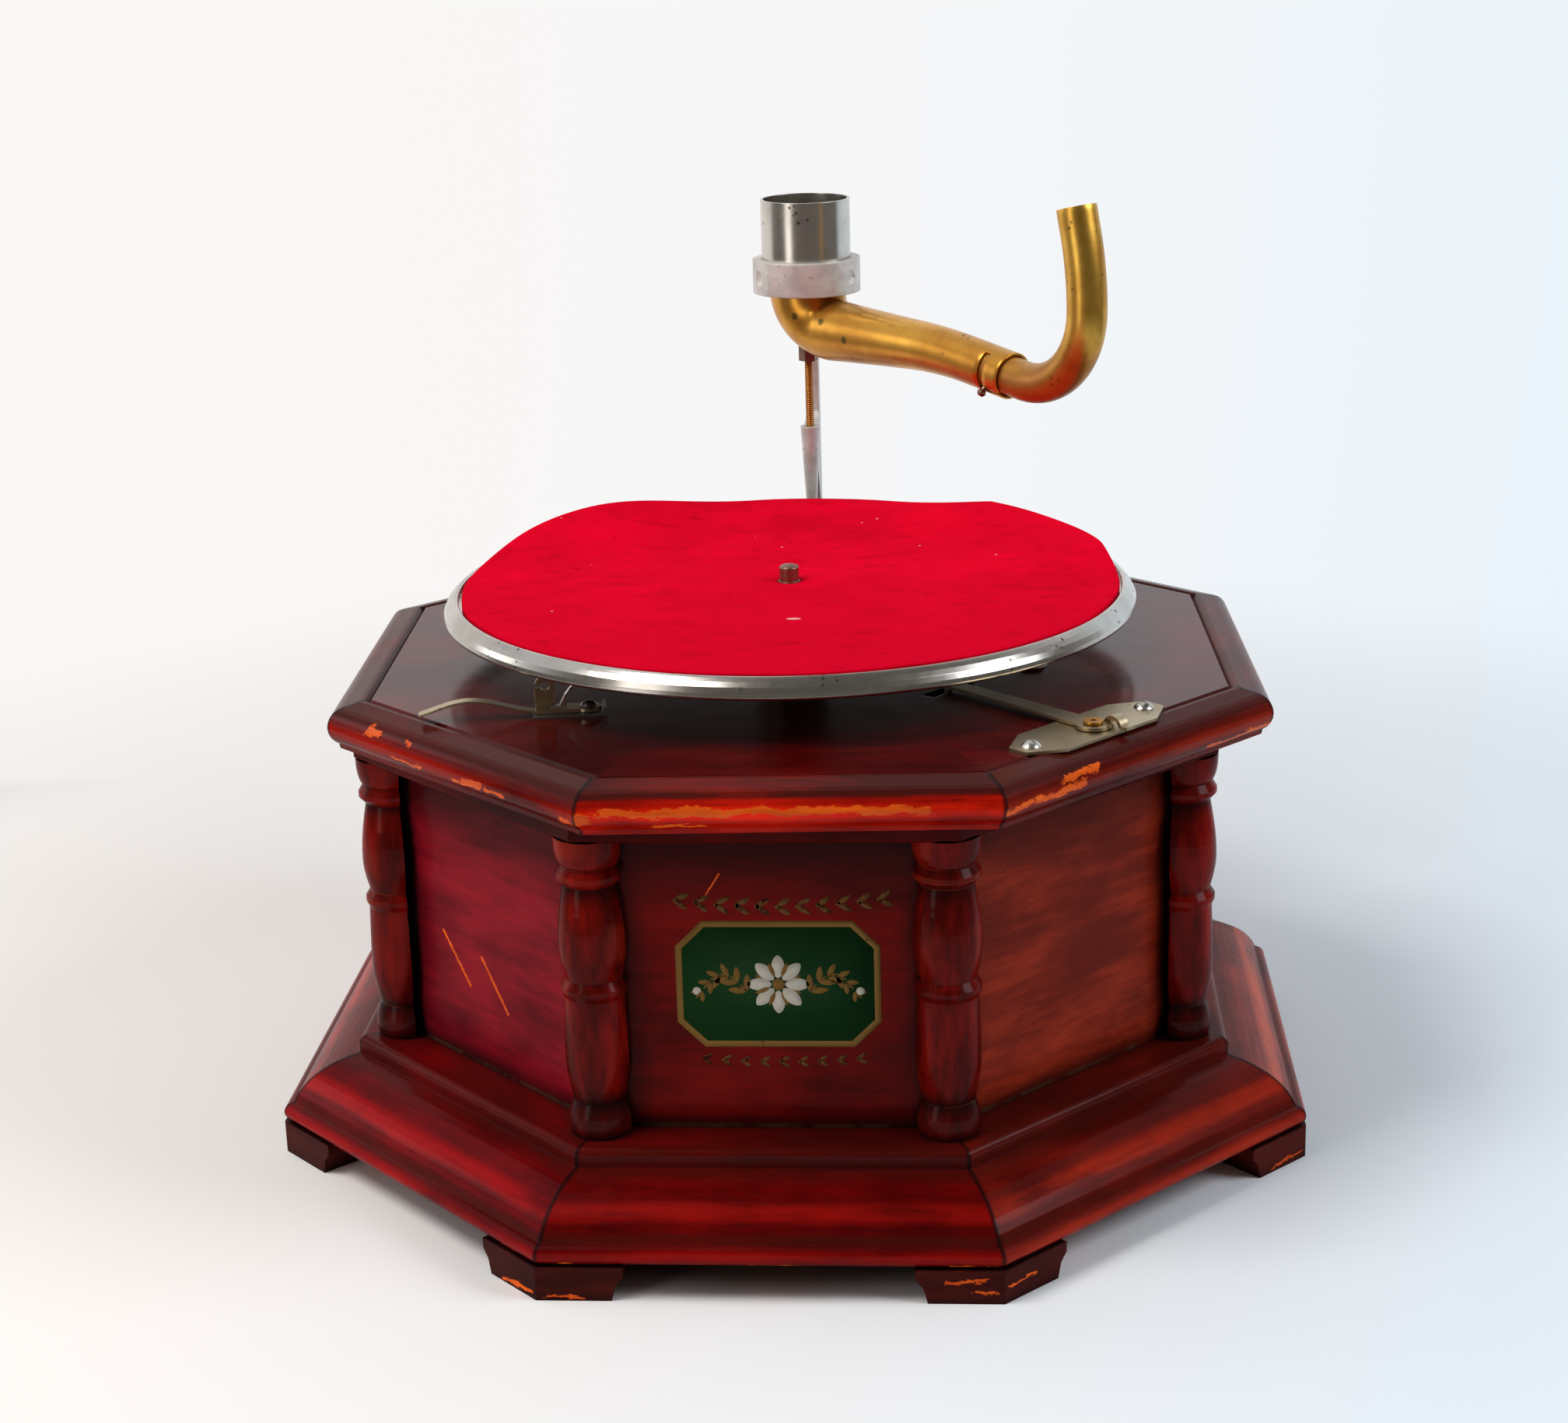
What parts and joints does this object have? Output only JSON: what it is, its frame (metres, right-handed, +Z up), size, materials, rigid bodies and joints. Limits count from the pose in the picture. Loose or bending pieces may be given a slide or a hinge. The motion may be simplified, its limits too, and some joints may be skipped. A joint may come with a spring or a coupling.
{
  "type": "table-top gramophone",
  "caption": "Octagonal mahogany table-top gramophone with turned corner columns, felt-covered turntable, spring motor, horn socket and swinging brass tonearm with gooseneck.",
  "frame": {"origin": "on the floor under the middle of the cabinet and the spindle's axis", "axes": "+Z up along the spindle and the horn socket, +X to the right, out of the winding socket, front towards -Y"},
  "size_m": [0.37, 0.37, 0.3268],
  "materials": {
    "mahogany": "gloss red-brown varnish, worn at the edges",
    "nickel": "aged nickel plate",
    "red_felt": "matt wool felt",
    "steel": "oiled, darkened with age",
    "brass": "aged, spotted",
    "cast_alloy": "rough sand casting"
  },
  "bodies": {
    "cabinet": {"base_board": "mahogany", "plinth_mouldings": "mahogany", "bracket_feet": "mahogany", "panel_right": "mahogany", "panel_back_right": "mahogany", "panel_back": "mahogany", "panel_back_left": "mahogany", "panel_left": "mahogany", "panel_front_left": "mahogany", "panel_front": "mahogany", "panel_front_right": "mahogany", "column_1": "mahogany", "column_2": "mahogany", "column_3": "mahogany", "column_4": "mahogany", "column_5": "mahogany", "column_6": "mahogany", "column_7": "mahogany", "column_8": "mahogany", "frieze": "mahogany", "top_panel": "mahogany", "top_mouldings": "mahogany", "motor_plate": "steel", "lower_plate": "steel", "motor_pillars": "steel", "motor_bolts": "steel", "motor_spacers": "steel", "winding_escutcheon": "brass", "regulator_plate": "nickel", "regulator_rivet": "brass", "regulator_screws": "nickel", "brake_plate": "steel", "brake_screws": "steel", "back_bracket": "cast_alloy", "bracket_ring": "cast_alloy", "bracket_lug": "cast_alloy", "bracket_screws": "steel", "horn_socket": "nickel", "swivel_bush": "brass", "pivot_screw": "brass"},
    "turntable": {"platter": "nickel", "felt_mat": "red_felt", "spindle": "steel", "governor_wheel": "brass"},
    "intermediate": {"intermediate_gear": "brass"},
    "barrel": {"spring_barrel": "brass", "barrel_cover": "brass", "mainspring": "steel"},
    "governor": {"governor_shaft": "steel", "governor_disc": "brass", "governor_springs": "steel"},
    "arbor": {"barrel_arbor": "steel", "winding_wheel": "brass"},
    "winder": {"winding_shaft": "steel"},
    "regulator": {"regulator_lever": "brass"},
    "friction": {"friction_lever": "steel"},
    "brake": {"brake_lever": "brass", "brake_spring": "steel"},
    "arm": {"tonearm": "brass", "pivot_nut": "steel"},
    "neck": {"gooseneck": "brass"}
  },
  "joints": [
    {"name": "platter_spin", "type": "hinge", "parent": "cabinet", "child": "turntable", "pos_m": [0, 0, 0.19], "axis": [0, 0, 1], "continuous": true},
    {"name": "intermediate_spin", "type": "hinge", "parent": "cabinet", "child": "intermediate", "pos_m": [0.02553, 0.03335, 0.07], "axis": [0, 0, 1], "continuous": true},
    {"name": "barrel_spin", "type": "hinge", "parent": "cabinet", "child": "barrel", "pos_m": [0.068, 0, 0.05], "axis": [0, 0, 1], "continuous": true},
    {"name": "governor_spin", "type": "hinge", "parent": "cabinet", "child": "governor", "pos_m": [0, -0.08, 0.11904], "axis": [0, 1, 0], "continuous": true},
    {"name": "arbor_wind", "type": "hinge", "parent": "cabinet", "child": "arbor", "pos_m": [0.068, 0, 0.08], "axis": [0, 0, 1], "continuous": true},
    {"name": "winder_spin", "type": "hinge", "parent": "cabinet", "child": "winder", "pos_m": [0.12, 0, 0.0927], "axis": [1, 0, 0], "continuous": true},
    {"name": "regulator_swing", "type": "hinge", "parent": "cabinet", "child": "regulator", "pos_m": [0.10713, -0.10713, 0.172], "axis": [0, 0, 1], "range_deg": [-7, 7]},
    {"name": "friction_swing", "type": "hinge", "parent": "cabinet", "child": "friction", "pos_m": [0.03041, -0.03041, 0.144], "axis": [0, 0, 1], "range_deg": [-12, 12]},
    {"name": "brake_swing", "type": "hinge", "parent": "cabinet", "child": "brake", "pos_m": [-0.0645, -0.0835, 0.172], "axis": [0, 0, 1], "range_deg": [-6, 14]},
    {"name": "tonearm_swing", "type": "hinge", "parent": "cabinet", "child": "arm", "pos_m": [0, 0.15, 0.264], "axis": [0, 0, 1], "range_deg": [-55, 50]},
    {"name": "gooseneck_roll", "type": "hinge", "parent": "arm", "child": "neck", "pos_m": [0.06825, 0.0742, 0.26165], "axis": [-0.6626, 0.7359, 0.1392], "range_deg": [0, 95]}
  ],
  "couplings": [
    {"joint": "intermediate_spin", "follows": "platter_spin", "ratio": -0.16667},
    {"joint": "barrel_spin", "follows": "platter_spin", "ratio": 0.020833},
    {"joint": "governor_spin", "follows": "platter_spin", "ratio": 9},
    {"joint": "winder_spin", "follows": "arbor_wind", "ratio": 2},
    {"joint": "friction_swing", "follows": "regulator_swing", "ratio": -1.7125}
  ]
}
